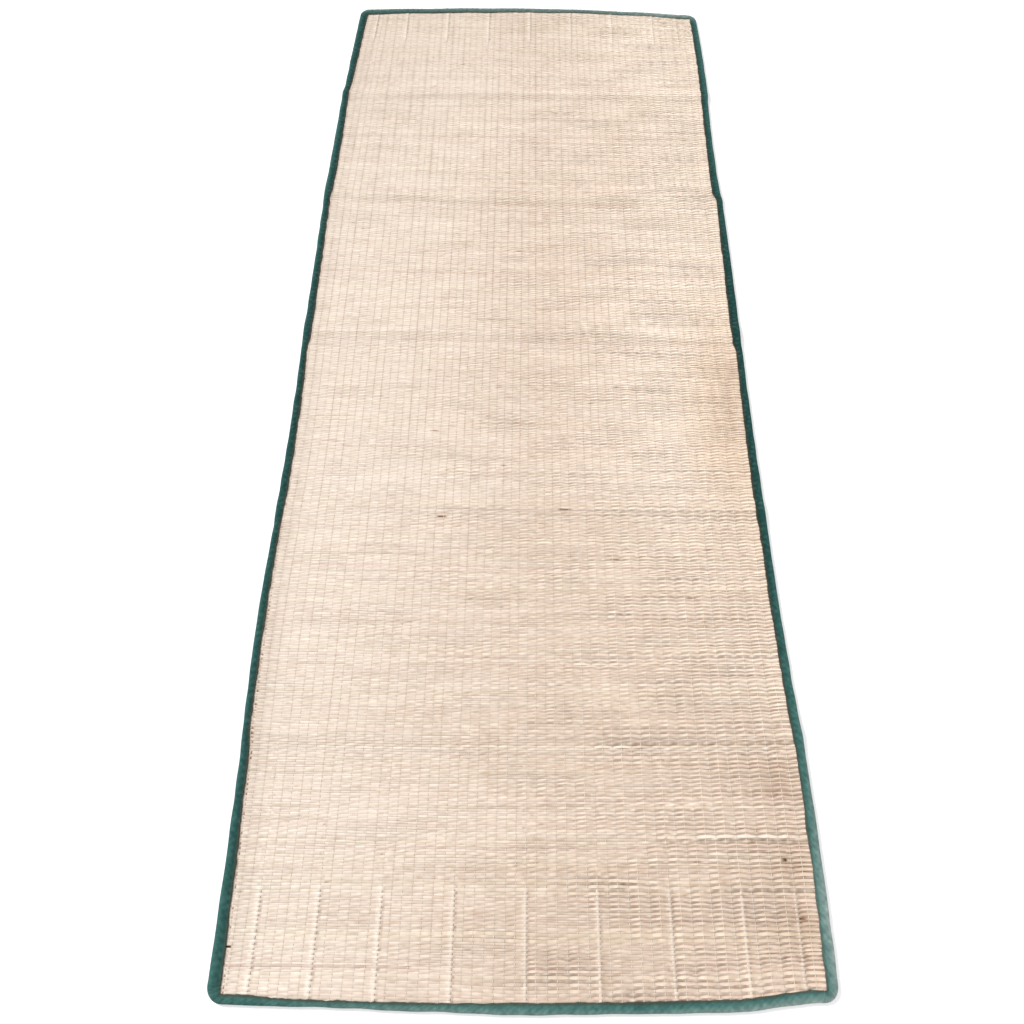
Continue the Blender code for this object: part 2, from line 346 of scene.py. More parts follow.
def columns_of(number):
    """The places along a reed of that panel: (x, nearest cord, how fully it lies on it)."""
    columns = [(-WIDTH / 2, -2, 0.0), (-WIDTH / 2, -1, 0.0)]
    for cord in range(CORDS):
        x = cord_x(cord)
        beside = cord in ribs_of(number)
        if cord == CORDS - 1:
            columns.append((x, CORDS, 0.0))
        if beside:
            columns.append((x - RIB_SIDE, cord, 0.45))
        columns.append((x, cord, 1.0))
        if beside:
            columns.append((x + RIB_SIDE, cord, 0.45))
        if cord < CORDS - 2:
            columns.append((x + CORD_STEP / 2, cord, 0.0))
    columns.append((WIDTH / 2, CORDS + 1, 0.0))
    return np.array(columns)


STRAND_HALF = 0.25


def piece_from(bm, name):
    mesh = bpy.data.meshes.new(name)
    bm.to_mesh(mesh)
    bm.free()
    piece = bpy.data.objects.new(name, mesh)
    scene.collection.objects.link(piece)
    return piece


def strands(name, stations, sides, count, along_x, turned):
    """Closed strands side by side, still in a plain grid of station and strand numbers."""
    bm = bmesh.new()
    bmesh.ops.create_grid(bm, x_segments=stations - 1, y_segments=sides, size=0.5)
    for point in bm.verts:
        angle = 2 * pi * (point.co.y + 0.5) + turned
        across, high = -STRAND_HALF * cos(angle), STRAND_HALF * sin(angle)
        station = round((point.co.x + 0.5) * (stations - 1))
        point.co = (station, across, high) if along_x else (across, station, high)
    bmesh.ops.remove_doubles(bm, verts=bm.verts, dist=0.001)
    rims = [edge for edge in bm.edges if edge.is_boundary]
    bmesh.ops.holes_fill(bm, edges=rims, sides=sides)
    bmesh.ops.recalc_face_normals(bm, faces=bm.faces)
    strand = piece_from(bm, name)
    row = strand.modifiers.new("side by side", "ARRAY")
    row.count = count
    row.use_relative_offset = False
    row.use_constant_offset = True
    row.constant_offset_displace = (0, 1, 0) if along_x else (1, 0, 0)
    graph = bpy.context.evaluated_depsgraph_get()
    single, strand.data = strand.data, bpy.data.meshes.new_from_object(strand.evaluated_get(graph))
    strand.modifiers.clear()
    bpy.data.meshes.remove(single)
    strand.data.name = name
    return strand


def points_of(piece):
    flat = np.empty(len(piece.data.vertices) * 3, np.float32)
    piece.data.vertices.foreach_get("co", flat)
    return flat.reshape(-1, 3).astype(float)


def whole(places, count):
    return np.clip(np.rint(places).astype(int), 0, count - 1)


def set_points(piece, points):
    piece.data.vertices.foreach_set("co", (points * MM).astype(np.float32).ravel())
    piece.data.polygons.foreach_set("use_smooth", [True] * len(piece.data.polygons))
    piece.data.update()


def set_normals(piece, x, y, z):
    """Sets the direction that each point is shaded in."""
    normals = np.stack([x, y, z], axis=1)
    normals /= np.linalg.norm(normals, axis=1)[:, None]
    piece.data.normals_split_custom_set_from_vertices(normals.tolist())


def paint(piece, name, channels):
    layer = piece.data.color_attributes.new(name, "FLOAT_COLOR", "POINT")
    values = np.stack([*channels, np.ones_like(channels[0])], axis=1)
    layer.data.foreach_set("color", values.astype(np.float32).ravel())


def corner_limit(side, y):
    """x of the rounded corner of the weave at y, inside the folded tape."""
    edge = side_edge(side, y) - side * EDGE_INSET
    radius = CORNER_RADIUS - EDGE_INSET
    for end in (-1, 1):
        tip = end_edge(end, np.full_like(y, side * 350.0)) - end * EDGE_INSET
        depth = np.clip(radius - end * (tip - y), 0.0, radius)
        edge = edge - side * (radius - np.sqrt(radius ** 2 - depth ** 2))
    return edge


def mat_height(x, y):
    """Height of the middle of the weave over the floor."""
    lift = EDGE_LIFT * (1 - ease((inside_tape(x, y) - 1.0) / SETTLE))
    return MIDDLE_HEIGHT + fold_lift(x, y) + lift + UNEVEN * (1 + unevenness(x, y))


CORD_KNOTS = 60


def cord_line(cord, x, y):
    """The line over a cord, from -1 painted shade to 1 pale, and a band of painted shade far off."""
    table = np.random.default_rng(14).standard_normal((CORDS + 4, CORD_KNOTS))
    cord = cord.astype(int) + 2
    here = at_knots(table, cord, y / LENGTH + 0.5)
    second = (cord % 2 == 0) * ease((250.0 - x) / 350.0)
    far_off = ease((y - 60) / 450)
    # Painted shade in the dip where the reeds pass under the cord, most at even cords on the left
    dark = (0.08 + 0.07 * ease((y + 600) / 800)) * (1 - 0.80 * far_off)
    dark = dark * np.clip(0.9 + 0.9 * here + 1.5 * second, 0, 4)
    # A soft band of painted shade along the even cords on the left, far off
    band = 0.09 * second * far_off * np.clip(0.8 + 1.1 * here, 0, 2)
    pale = 0.35 * ease((x - 20) / 240) * ease((100 - y) / 500) * np.clip(0.4 + 1.2 * here, 0, 2)
    return np.clip(pale - dark, -1, 1), band


# Half a reed's thickness, its rise and dip at the cords, its swell between them, the roll
# that pairs it with its neighbour, its climb over a rib, and its usual width, in mm. The
# outer ends of the reeds lie unpaired.
REED_HALF = 0.30
REED_SWING = 0.32
QUILT = 0.06
PAIRING = 0.30
RIB_CLIMB = 0.30
USUAL_WIDTH = 2.65
PAIRED_TO = 362.0

# How far inside the inner edge of the tape the reeds come out of it, how far inside that
# place the first and last cords lie, and the least step to the next points, in mm
LEFT_RIM, RIGHT_RIM = 0.8, 1.3
FIRST_CORD_IN, LAST_CORD_IN = 1.7, 2.5
NEXT_POINT = 1.2

# Flecks on single reeds: place, length and strength, each on the nearest reed
NEAR_REED = 2.0
Mark = namedtuple("Mark", "x y long strong")
MARKS = [
    Mark(-343, -848, 6, 2.6),
    Mark(-119, -293, 11, 1.2),
    Mark(144, -58, 12, 0.9),
    Mark(-31, -205, 9, 0.9),
    Mark(-139, -144, 8, 0.9),
    Mark(237, -415, 9, 1.1),
    Mark(132, -356, 8, 0.7),
    Mark(179, -208, 9, 0.6),
    Mark(184, 169, 14, 0.8),
    Mark(-5, 226, 12, 0.7),
    Mark(308, 514, 14, 0.9),
    Mark(321, -777, 4, 1.7),
    Mark(323, -749, 4, 1.6),
    Mark(333, -813, 8, 0.9),
    Mark(215, -754, 7, 0.7),
    Mark(60, -279, 16, 0.9),
    Mark(-55, -116, 8, 0.5),
    Mark(271, -338, 10, 0.6),
]

# Reeds that are thicker and paler for part of their length: those this near to a y, in mm
REED_REACH = 1.4
Bright = namedtuple("Bright", "y x_from x_to strong")
BRIGHTS = [
    Bright(497, -350, 350, 0.8),
    # The next two rows paint a highlight on the far slope of the fourth fold
    Bright(393, -345, -90, 1.0),
    Bright(387, -60, 60, 0.5),
    Bright(587, 150, 340, 0.7),
    Bright(252, -330, 340, 0.5),
    Bright(-723, -320, 330, 0.7),
    Bright(-853, -330, -120, 0.5),
    Bright(-866, -345, -130, -0.8),
    Bright(-863.3, -345, -130, 0.8),
    # The next two rows paint a highlight along the first and the third fold
    Bright(-619, -100, 350, 0.7),
    Bright(46, -350, -60, 0.9),
    Bright(-688, 180, 345, 0.5),
]

# Wider stains, and painted shade on the folds and beside the left tape: middle, half sizes across
# and along the mat, and strength
Darkened = namedtuple("Darkened", "x y across along strong")
STAINS_AND_SHADE = [
    Darkened(338, -78, 34, 75, 0.75),
    Darkened(345, -18, 16, 30, 0.5),
    Darkened(330, -664, 26, 26, 0.40),
    Darkened(335, -754, 24, 22, 0.35),
    Darkened(333, -813, 20, 18, 0.45),
    Darkened(320, 822, 40, 3, 0.8),
    Darkened(-178, 2, 3, 900, 0.15),
    Darkened(400, -848, 330, 330, 0.30),
    Darkened(50, -858, 110, 90, 0.12),
    Darkened(-300, 902, 260, 330, 0.20),
    # The next five rows are painted shade on the near slopes of the five folds
    Darkened(120, -290, 230, 11, 0.22),
    Darkened(0, 30, 370, 11, 0.15),
    Darkened(0, 347, 370, 12, 0.15),
    Darkened(60, 630, 330, 8, 0.15),
    Darkened(0, -610, 370, 9, 0.18),
    # Soiling and painted shade along the inner edge of the left tape
    Darkened(-349, -638, 3, 270, 0.3),
    Darkened(325, -200, 60, 110, 0.25),
    Darkened(-290, 580, 70, 260, 0.10),
]

# Paler and darker patches of the weave: middle, half sizes across and along the mat, and tone
Patch = namedtuple("Patch", "x y across along tone")
PATCHES = [
    Patch(-30, 600, 220, 220, 0.8),
    Patch(310, 200, 90, 160, 1.5),
    Patch(200, 470, 120, 350, -0.9),
    Patch(60, -500, 170, 190, 0.6),
]


def reed_x(rows, at):
    """x of each point of the reeds, which are cut off inside the folded tape."""
    y, cord, hold = at.y, at.cord, at.hold
    ends = np.random.default_rng(200 + rows.number).uniform(0.0, 1.2, (rows.count, 2))
    low = corner_limit(-1, y) + ends[at.row, 0]
    high = corner_limit(1, y) - ends[at.row, 1]
    left_rim = side_edge(-1, y) + side_tape(-1, y) + LEFT_RIM
    right_rim = side_edge(1, y) - side_tape(1, y) - RIGHT_RIM
    first_cord = np.maximum(pull_in(cord_x(0) + 0 * y, y), left_rim + FIRST_CORD_IN)
    last_cord = np.maximum(pull_in(cord_x(CORDS - 1) + 0 * y, y), right_rim + LAST_CORD_IN)
    x = pull_in(at.flat_x, y)
    x = np.where(cord == -1, left_rim, np.where(cord == CORDS, right_rim, x))
    x = np.where((cord == 0) & (hold == 1), first_cord, x)
    x = np.where(cord == CORDS - 1, last_cord, x)
    x = np.where((cord == 0) & (hold == 0), np.maximum(x, first_cord + NEXT_POINT), x)
    x = np.where(cord == 1, np.maximum(x, first_cord + 2 * NEXT_POINT), x)
    x = np.clip(x, low, high)
    return np.where(cord == -2, low, np.where(cord == CORDS + 1, high, x))


def brightness(x, y):
    """How much thicker and paler than its neighbours a reed is."""
    bright = np.zeros_like(x)
    for reed in BRIGHTS:
        here = (x > reed.x_from) & (x < reed.x_to)
        bright = np.where(here & (np.abs(y - reed.y) < REED_REACH), reed.strong, bright)
    return bright


def flecks_stains_and_shade(x, y, row):
    """How dark the flecks, the stains and the painted shade on the folds and by the left tape make
    the reeds.
    """
    dark = np.zeros_like(x)
    for mark in MARKS:
        near = np.abs(x - mark.x) < mark.long / 2 + 0.5
        gap = np.where(near, np.abs(y - mark.y), LENGTH)
        if gap.min() < NEAR_REED:
            dark += mark.strong * near * (row == row[gap.argmin()])
    for darkened in STAINS_AND_SHADE:
        reach = ((x - darkened.x) / darkened.across) ** 2 + ((y - darkened.y) / darkened.along) ** 2
        dark += darkened.strong * 0.5 * np.exp(-reach)
    return dark


def far_right(x, y):
    """1 in the far right half of the mat, where the light strips the weave of its contrast."""
    return ease((y + 650) / 600) * ease(x / 330)


def paleness(x, y):
    """How much paler the mat is at a place than at its near left."""
    near_end = ease((-230 - y) / 150) * ease((x + 300) / 150) * (1 - hump(y + 700, 110))
    # 4.0 * far_right paints the far right half paler, as painted light
    tone = 4.0 * far_right(x, y) - 1.3 * hump(x - 40, 250) - 0.8 * near_end
    for patch in PATCHES:
        tone += patch.tone * hump(x - patch.x, patch.across) * hump(y - patch.y, patch.along)
    tone += 1.4 * ease((x - 250) / 60) * ease((y - 520) / 180)
    return tone + 2.0 * ease((x - 230) / 100) * hump(y + 520, 150)


def warmth(x, y):
    """How warm a tint the reeds are given: most at the right edge, least at the far left."""
    warm_right_edge = hump(y + 100, 320) * ease((x - 220) / 80)
    cool_far_left = ease((y - 300) / 300) * (1 - ease(x / 200))
    warm = 0.5 + 0.12 * far_right(x, y) + 0.6 * warm_right_edge - 0.2 * cool_far_left
    return warm * np.clip(x / WIDTH + 0.5, 0, 1) ** 1.6


def reed_points(rows, columns, points):
    """What is at each point of the reeds: where it lies, and how the cords hold it.

    edge is -1 or 1 at a reed's near or far side; over is -1 or 1 where it dips or rises.
    """
    at = SimpleNamespace()
    at.column, at.row = whole(points[:, 0], len(columns)), whole(points[:, 1], rows.count)
    at.edge, at.top = np.sign(points[:, 1] - at.row), points[:, 2] > 0
    at.flat_x, at.cord, at.hold = columns[at.column].T
    at.y, at.width = rows.place(at.flat_x, at.row)
    at.x = reed_x(rows, at)
    own = np.random.default_rng(300 + rows.number).standard_normal((3, rows.count, len(columns)))
    at.own = own[:, at.row, at.column]
    at.along = [rows.along(kind, at.x, at.row) for kind in (HEIGHT, SIDEWAYS, TONE, ROLL)]
    at.loose = looseness(at.x, at.y)
    at.step = at.cord.astype(int) + rows.first + at.row
    at.over = np.where(at.step % 2 == 0, 1.0, -1.0) * at.hold
    at.under = np.clip(-at.over, 0, 1)
    at.tight = np.isin(at.cord, TIGHT_CORDS) * at.hold * (at.x < -300)
    at.rib = rib_share(at.cord, at.y) * at.hold
    at.beside_rib = at.rib * (at.hold < 1) * (at.flat_x > cord_x(at.cord))
    at.paired = rows.pair[at.row] * (1 - 0.6 * at.hold) * (np.abs(at.flat_x) < PAIRED_TO)
    at.bright = brightness(at.x, at.y)
    return at


def shape_reeds(piece, at):
    """Bends each reed over and under the cords and rolls it; returns every point's height."""
    calm = np.where((at.cord == 0) | (at.cord == CORDS - 1), 0.2, 1.0)
    height = mat_height(at.x, at.y) + REED_SWING * at.loose * at.over * calm
    height += QUILT * (1 - at.hold) + 0.10 * at.loose * at.along[HEIGHT] + 0.04 * at.own[0]
    height += 0.10 * at.bright + RIB_CLIMB * at.rib - 0.3 * at.beside_rib
    height += 0.35 * (at.cord == CORDS)
    at.y = at.y + 0.10 * at.along[SIDEWAYS] + 0.07 * at.own[1]
    fullness = 1.0 + 0.12 * at.loose * at.over - 0.04 * at.under * at.tight + 0.06 * at.bright
    upper, lower = fullness * (0.5 - 0.01 - 0.03 * at.loose), 0.53 * (1 + 0.6 * (fullness - 1))
    half_width = at.width * np.where(at.top, upper, lower)
    half_thick = REED_HALF * (0.85 + 0.2 * np.clip(at.width / USUAL_WIDTH, 0.7, 1.4))
    at.joined = ease((at.loose - 0.40) / 0.55)
    roll = 0.06 * at.along[ROLL] - PAIRING * at.paired * at.joined
    roll = roll * at.loose * at.edge
    skirt = 0.15 * half_thick + 0.7 * REED_SWING * at.loose * np.clip(at.over, 0, 1)
    height += np.where(at.top, half_thick + roll, -skirt + 0.8 * roll)
    set_points(piece, np.stack([at.x, at.y + at.edge * half_width, height], axis=1))
    return height


def lean_reeds(piece, at, height):
    """Turns the faces of each reed to the light, along it by its slope and across by its roll."""
    place = (at.row, (at.edge > 0) * 2 + at.top, at.column)
    along, lifted = np.zeros((2, at.row.max() + 1, 4, at.column.max() + 1))
    along[place], lifted[place] = at.x, height
    slope = np.gradient(lifted, axis=2) / np.maximum(np.gradient(along, axis=2), 0.5)
    slope = np.clip(slope, -0.3, 0.3)
    varied = np.clip(0.9 + 0.55 * at.own[2], 0.1, 1.8)
    varied *= np.clip(1 + 0.35 * at.along[TONE], 0.4, 1.6)
    crest = at.edge * np.where(at.over < 0, 0.34 * at.over, 0.55 * at.over) * varied
    ridge = (1.0 + 0.40 * at.along[HEIGHT]) * at.paired
    lean = at.joined * (0.10 + 0.42 * at.loose) * (crest + ridge)
    lean += (0.24 - 0.12 * at.joined) * at.edge + 0.06 * at.along[ROLL]
    sideways = np.where(at.top, lean, 0.75 * at.edge)
    upwards = np.where(at.top, 1.0, -0.65)
    set_normals(piece, np.where(at.top, -slope[place], 0.0), sideways, upwards)


def darkening(rows, at):
    """How dark each point is: stains, and painted shade at folds, under and between reeds, and in
    dots.
    """
    # Flecks, stains and fold shade, and painted shade with dirt where reeds dip under the tight edge
    # cords
    dark = flecks_stains_and_shade(at.x, at.y, at.row) + at.under * 0.1 * at.tight
    # Dots of painted shade where the reeds dip under the first cord, beside the left tape
    beside_tape = (at.cord == 0) * at.under * (1 - ease((at.y + 550) / 350))
    dark += beside_tape * np.clip(0.6 + 0.6 * at.own[2], 0, 1.2)
    # Dots of painted shadow on the right of each rib, away from the lamp
    dots = (0.20 + 0.60 * at.own[2]) * (rows.pair[at.row] > 0) * ease((260 - at.x) / 450)
    dark += 1.8 * at.beside_rib * np.clip(dots, 0.16, 0.9)
    # Painted shade in the valleys between paired reeds and at dips under cords, and painted shade
    # with some dirt down their sides
    valley = (at.edge * at.paired > 0) * (1 - 0.5 * at.hold) + 0.5 * at.under
    valley = 0.24 * np.clip(at.loose - 0.25, 0, 1.2) * valley
    dark += np.where(at.top, valley, 0.05 + 0.2 * at.loose)
    outer = (at.cord <= 2) * (at.cord > 0) * 0.10 * np.exp(-((at.y + 720) / 330.0) ** 2)
    dark += at.hold * outer * (0.4 + at.under)
    # All of it is lessened in the far right half, as painted light
    return dark * (1 - 0.4 * far_right(at.x, at.y))


def paint_reeds(piece, rows, at):
    """Paints tone, hue and dark, then the crossings and warmth, then the slants and cord lines; much
    is painted light and shade.
    """
    tone = 0.55 * rows.tone[at.row] + 0.4 * at.along[TONE] + 0.9 * at.own[2]
    # Painted highlight on some crests where the reed rides over a cord
    tone += 1.6 * np.clip(at.own[1] - 1.0, 0, 1.5) * (at.over > 0) * at.loose
    # Painted highlight on the left flank of each rib, which faces the lamp
    tone += (2.5 + 1.5 * ease(-at.x / 150)) * at.rib * (at.flat_x <= cord_x(at.cord))
    tone += paleness(at.x, at.y)
    line, band = cord_line(at.cord, at.x, at.y)
    line = line * (0.75 + 0.5 * at.under) * (1 - np.clip(at.rib, 0, 1))
    # At the first cord, dots of painted shade on the near half of each reed, beside the left tape
    line = np.where(at.cord == 0, -0.9 * (at.edge < 0), line) * at.hold
    flecks = np.random.default_rng(500 + rows.number).uniform(size=(rows.count, at.column.max() + 1))
    flecked = (flecks[at.row, at.column] < 0.006 * (0.2 + at.loose)) * (at.edge < 0)
    # The band of painted shade along the cords far off, and flecks
    dark = darkening(rows, at) + band * at.hold + 0.55 * flecked
    # Less dark on the bright reeds, and a painted highlight on the reed ends rising at the right rim
    dark -= 0.3 * at.bright + 0.15 * (at.cord == CORDS)
    # Painted light and shade: each block between cords is lighter where the reed rises towards the
    # lamp, darker where it falls
    left_of_cord = at.flat_x < cord_x(at.cord) - 0.1
    rising = (at.step + 1 - left_of_cord) % 2 == 0
    rising = rising != (at.own[0] > 1.9 - 0.9 * at.loose)
    slant = np.where(rising, 0.5, -0.5) * np.clip((1 - at.hold) * 1.6, 0, 1)
    slope_shade = 0.42 + 0.22 * ease((at.loose - 0.30) / 0.3) - 0.40 * ease((at.loose - 0.8) / 0.5)
    slope_shade *= 1 + (0.5 + 0.4 * at.loose) * (at.own[1] + 0.5 * at.along[TONE])
    paler = 0.5 + 0.10 * tone + 0.12 * at.bright
    # How strongly the dips under the cords take painted shade and the crests a painted highlight,
    # more far off
    dimpled = 0.1 + 0.6 * ease((at.y + 700.0) / 1200.0)
    paint(piece, "reed", (paler, 0.5 + 0.15 * rows.hue[at.row], dark))
    paint(piece, "crossing", (0.5 + at.over / 2, dimpled, warmth(at.x, at.y)))
    paint(piece, "slant", (0.5 + slant, np.clip(slope_shade, 0, 1), 0.5 + 0.5 * line))


def reed_panel(number):
    rows, columns = Rows(number), columns_of(number)
    name = f"reeds_{number + 1}"
    piece = strands(name, len(columns), 4, rows.count, along_x=True, turned=pi / 4)
    at = reed_points(rows, columns, points_of(piece))
    height = shape_reeds(piece, at)
    lean_reeds(piece, at, height)
    paint_reeds(piece, rows, at)
    return piece


def node_of(tree, kind, **values):
    node = tree.nodes.new(kind)
    for key, value in values.items():
        setattr(node, key, value)
    return node


def channels_of(tree, name):
    """The three channels of a painted attribute."""
    painted = node_of(tree, "ShaderNodeAttribute", attribute_name=name)
    parts = node_of(tree, "ShaderNodeSeparateColor")
    tree.links.new(painted.outputs["Color"], parts.inputs[0])
    return parts.outputs


def texture_node(tree, kind, place, **sizes):
    """A texture with the given input values; the bands of a wave one run slantwise."""
    node = node_of(tree, "ShaderNodeTex" + kind)
    if kind == "Wave":
        node.bands_direction = "DIAGONAL"
    for label, size in sizes.items():
        node.inputs[label.replace("_", " ")].default_value = size
    tree.links.new(place, node.inputs["Vector"])
    return node.outputs["Fac"]


def fibre_group():
    """Long streaks along X, as in split reed: a mask for colour and a height for bump."""
    tree = bpy.data.node_groups.new("reed fibre", "ShaderNodeTree")
    for label in ("Coarse", "Fine"):
        tree.interface.new_socket(label, in_out="INPUT", socket_type="NodeSocketFloat")
    for label in ("Streak", "Height"):
        tree.interface.new_socket(label, in_out="OUTPUT", socket_type="NodeSocketFloat")
    given, out = tree.nodes.new("NodeGroupInput"), tree.nodes.new("NodeGroupOutput")
    place = node_of(tree, "ShaderNodeTexCoord")
    heights = []
    for label, along in (("Coarse", 22.0), ("Fine", 60.0)):
        scale = node_of(tree, "ShaderNodeCombineXYZ")
        scale.inputs["X"].default_value = along
        tree.links.new(given.outputs[label], scale.inputs["Y"])
        tree.links.new(given.outputs[label], scale.inputs["Z"])
        stretch = node_of(tree, "ShaderNodeVectorMath", operation="MULTIPLY")
        tree.links.new(place.outputs["Object"], stretch.inputs[0])
        tree.links.new(scale.outputs[0], stretch.inputs[1])
        heights.append(texture_node(tree, "Noise", stretch.outputs[0], Scale=1.0, Detail=2.0))
    tree.links.new(heights[0], out.inputs["Streak"])
    add = node_of(tree, "ShaderNodeMath", operation="ADD")
    tree.links.new(heights[0], add.inputs[0])
    tree.links.new(heights[1], add.inputs[1])
    tree.links.new(add.outputs[0], out.inputs["Height"])
    return tree


def tinted(tree, colour, share, by, kind="MULTIPLY"):
    """The colour multiplied by another, or mixed with it; share and by are sockets or values."""
    node = node_of(tree, "ShaderNodeMix", data_type="RGBA", blend_type=kind)
    for socket, value in ((node.inputs[0], share), (node.inputs[6], colour), (node.inputs[7], by)):
        if isinstance(value, bpy.types.NodeSocket):
            tree.links.new(value, socket)
        else:
            socket.default_value = value
    return node.outputs[2]


def ramp_node(tree, source, stops):
    node = node_of(tree, "ShaderNodeValToRGB")
    while len(node.color_ramp.elements) < len(stops):
        node.color_ramp.elements.new(0.5)
    for element, (at, colour) in zip(node.color_ramp.elements, stops):
        element.position = at
        element.color = (*colour, 1.0)
    tree.links.new(source, node.inputs[0])
    return node.outputs[0]


def plain_material(name, roughness):
    material = bpy.data.materials.new(name)
    material.use_nodes = True
    shader = material.node_tree.nodes["Principled BSDF"]
    shader.inputs["Roughness"].default_value = roughness
    return material, material.node_tree, shader


def finish_surface(tree, shader, colour, height, strength, distance):
    """Gives a shader its colour and the fine relief of its surface."""
    bump = node_of(tree, "ShaderNodeBump")
    bump.inputs["Strength"].default_value = strength
    bump.inputs["Distance"].default_value = distance
    tree.links.new(height, bump.inputs["Height"])
    tree.links.new(bump.outputs["Normal"], shader.inputs["Normal"])
    tree.links.new(colour, shader.inputs["Base Color"])


def reed_material():
    material, tree, shader = plain_material("split reed", 0.55)
    shader.inputs["Specular IOR Level"].default_value = 0.3
    paler, hued, dark = channels_of(tree, "reed")
    crossing, dimpled, warm = channels_of(tree, "crossing")
    slant, strength, cord = channels_of(tree, "slant")
    tone = ramp_node(tree, paler, [
        (0.15, (0.715, 0.590, 0.490)), (0.45, (0.845, 0.733, 0.640)),
        (0.62, (0.880, 0.777, 0.688)), (0.90, (0.960, 0.880, 0.800)),
    ])
    hue = ramp_node(tree, hued, [
        (0.20, (1.0, 0.965, 0.965)), (0.50, (1.0, 1.0, 1.0)),
        (0.80, (0.99, 1.0, 0.95)),
    ])
    colour = tinted(tree, tone, 1.0, hue)
    fibre = node_of(tree, "ShaderNodeGroup", node_tree=bpy.data.node_groups["reed fibre"])
    fibre.inputs["Coarse"].default_value = 1300.0
    fibre.inputs["Fine"].default_value = 5200.0
    streak = ramp_node(tree, fibre.outputs["Streak"], [
        (0.30, (0.84, 0.80, 0.76)),
        (0.60, (1.03, 1.02, 1.0)),
    ])
    colour = tinted(tree, colour, 0.6, streak)
    # Stains and painted shade, in a warm brown
    colour = tinted(tree, colour, dark, (0.42, 0.30, 0.22, 1.0))
    # Near black where dark passes 1: the deepest marks and the deepest painted shade
    deeper = node_of(tree, "ShaderNodeMath", operation="SUBTRACT", use_clamp=True)
    tree.links.new(dark, deeper.inputs[0])
    deeper.inputs[1].default_value = 1.0
    colour = tinted(tree, colour, deeper.outputs[0], (0.10, 0.08, 0.07, 1.0))
    # Painted shade in the dips where a reed passes under a cord, and a faint painted highlight on
    # its crests
    dimple = ramp_node(tree, crossing, [
        (0.02, (0.84, 0.79, 0.73)), (0.15, (1.0, 1.0, 1.0)),
        (0.86, (1.0, 1.0, 1.0)), (0.98, (1.04, 1.035, 1.03)),
    ])
    colour = tinted(tree, colour, dimpled, dimple)
    colour = tinted(tree, colour, warm, (1.0, 0.914, 0.826, 1.0))
    # Painted light and shade of each block's slope to the lamp
    slope_shade = ramp_node(tree, slant, [(0.40, (0.91, 0.88, 0.85)), (0.60, (1.09, 1.08, 1.07))])
    colour = tinted(tree, colour, strength, slope_shade)
    # Along the cords only: dark brown painted shade in the dips beside them, up to a paler line
    over_cord = ramp_node(tree, slant, [
        (0.41, (0.0, 0.0, 0.0)), (0.47, (1.0, 1.0, 1.0)),
        (0.53, (1.0, 1.0, 1.0)), (0.59, (0.0, 0.0, 0.0)),
    ])
    line = ramp_node(tree, cord, [
        (0.0, (0.22, 0.15, 0.11)), (0.25, (0.72, 0.64, 0.58)),
        (0.5, (1.0, 1.0, 1.0)), (1.0, (1.22, 1.24, 1.26)),
    ])
    colour = tinted(tree, colour, over_cord, line)
    finish_surface(tree, shader, colour, fibre.outputs["Height"], 0.35, 0.00015)
    return material


fibre_group()
split_reed = reed_material()
reed_pieces = []
for number in range(len(PANELS)):
    piece = reed_panel(number)
    piece.data.materials.append(split_reed)
    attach(piece, "root")
    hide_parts("mat")
    reed_pieces.append(piece)


# The warp. Thin twisted cotton cords run the whole length and pass over every other reed,
# where they show as short pale ticks.
CORD_RADIUS = 0.55
EDGE_CORD_RADIUS = 0.25
CORD_BEND = 0.46


def warp_part(name, numbers):
    """The stretch of every warp cord that crosses the reeds of those panels."""
    rows = [Rows(number) for number in numbers]
    count = sum(part.count for part in rows)
    piece = strands(name, count, 3, CORDS, along_x=False, turned=pi / 2)
    points = points_of(piece)
    cord, reed = whole(points[:, 0], CORDS), whole(points[:, 1], count)
    across, high = (points[:, 0] - cord) / STRAND_HALF, points[:, 2] / STRAND_HALF
    flat_x = cord_x(cord)
    y = np.zeros_like(flat_x)
    first = 0
    for part in rows:
        here = (reed >= first) & (reed < first + part.count)
        y[here] = part.place(flat_x[here], reed[here] - first)[0]
        first += part.count
    low, top = corner_limit(-1, y) + 1.0, corner_limit(1, y) - 1.0
    x = pull_in(flat_x, y)
    x = np.where(cord == 0, np.maximum(x, side_edge(-1, y) + side_tape(-1, y) + 2.5), x)
    x = np.clip(x, low, top)
    over = np.where((cord + rows[0].first + reed) % 2 == 0, -1.0, 1.0)
    rng = np.random.default_rng(400 + numbers[0])
    tug = rng.normal(0, 0.08, (CORDS, count))[cord, reed]
    x = x + rng.normal(0, 0.18, (CORDS, count))[cord, reed]
    bend = CORD_BEND * (0.8 + 0.25 * looseness(x, y)) + tug
    radius = np.where(cord == 0, EDGE_CORD_RADIUS, CORD_RADIUS)
    bend = np.where(cord == 0, 0.0, bend)
    middle = mat_height(x, y) + over * bend
    place = np.stack([x + across * radius, y, middle + high * radius], axis=1)
    set_points(piece, place)
    set_normals(piece, 0.4 * across, 0 * across, np.where(high > 0.5, 1.0, 0.7))
    # Each cord's tone, darkened towards the far end by painted shade, where the cords lie deep in
    # the weave
    shade = rng.uniform(0.55, 1, CORDS)[cord] - 0.5 * ease((y + 400.0) / 900.0)
    paint(piece, "cord", (shade, 0 * shade, 0 * shade))
    return piece


